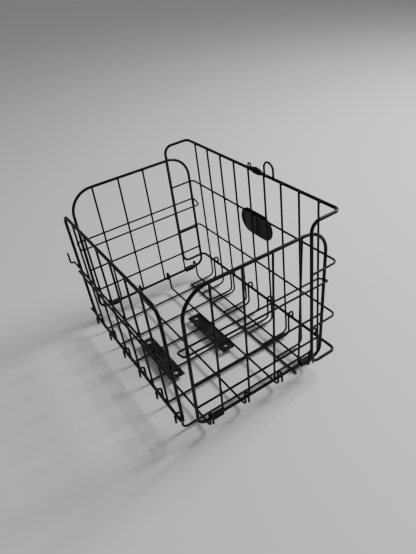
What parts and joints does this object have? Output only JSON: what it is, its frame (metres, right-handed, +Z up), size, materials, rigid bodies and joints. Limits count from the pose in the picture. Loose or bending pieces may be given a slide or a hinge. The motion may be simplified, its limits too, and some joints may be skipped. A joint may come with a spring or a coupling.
{
  "type": "folding handlebar basket",
  "caption": "Folding black wire bicycle basket with hinged end panels, a swing-out rear wall and sliding latch rings.",
  "frame": {"origin": "centre of the bounding box in plan, at ground level under the floor", "axes": "+X along the long walls to the right end panel, +Y to the tall front wall, +Z up"},
  "size_m": [0.3628, 0.2678, 0.2976],
  "materials": {
    "wire": "satin black coating",
    "plate": "matt black coating",
    "sleeve": "matt"
  },
  "bodies": {
    "base": {"floor_long_wires": "wire", "floor_cross_wires": "wire", "mount_plate_front": "plate", "mount_plate_rear": "plate", "front_rim": "wire", "front_uprights": "wire", "front_cross_wires": "wire", "front_foot_rail": "wire", "badge_plate": "plate", "rim_loop": "wire", "rim_sleeve": "sleeve"},
    "rear_wall": {"rear_rim": "wire", "rear_uprights": "wire", "rear_cross_wires": "wire", "rear_latch_wire": "wire"},
    "left_end": {"left_end_rim": "wire", "left_end_uprights": "wire", "left_end_cross_wires": "wire", "left_hinge_sleeves": "sleeve"},
    "left_ring": {"left_latch_ring": "wire"},
    "right_end": {"right_end_rim": "wire", "right_end_uprights": "wire", "right_end_cross_wires": "wire", "right_hinge_sleeves": "sleeve"},
    "right_ring": {"right_latch_ring": "wire"}
  },
  "joints": [
    {"name": "left_end_fold", "type": "hinge", "parent": "base", "child": "left_end", "pos_m": [-0.1635, 0.00398, 0.031], "axis": [0, 1, 0], "range_deg": [0, 90]},
    {"name": "right_end_fold", "type": "hinge", "parent": "base", "child": "right_end", "pos_m": [0.1635, 0.00398, 0.031], "axis": [0, -1, 0], "range_deg": [0, 76]},
    {"name": "rear_wall_swing", "type": "hinge", "parent": "base", "child": "rear_wall", "pos_m": [0, -0.11978, 0.031], "axis": [1, 0, 0], "range_deg": [0, 90]},
    {"name": "left_ring_lift", "type": "slide", "parent": "left_end", "child": "left_ring", "axis": [-0.0314, 0, 0.9995], "range_m": [0, 0.08]},
    {"name": "right_ring_lift", "type": "slide", "parent": "right_end", "child": "right_ring", "axis": [0.0314, 0, 0.9995], "range_m": [0, 0.08]}
  ]
}
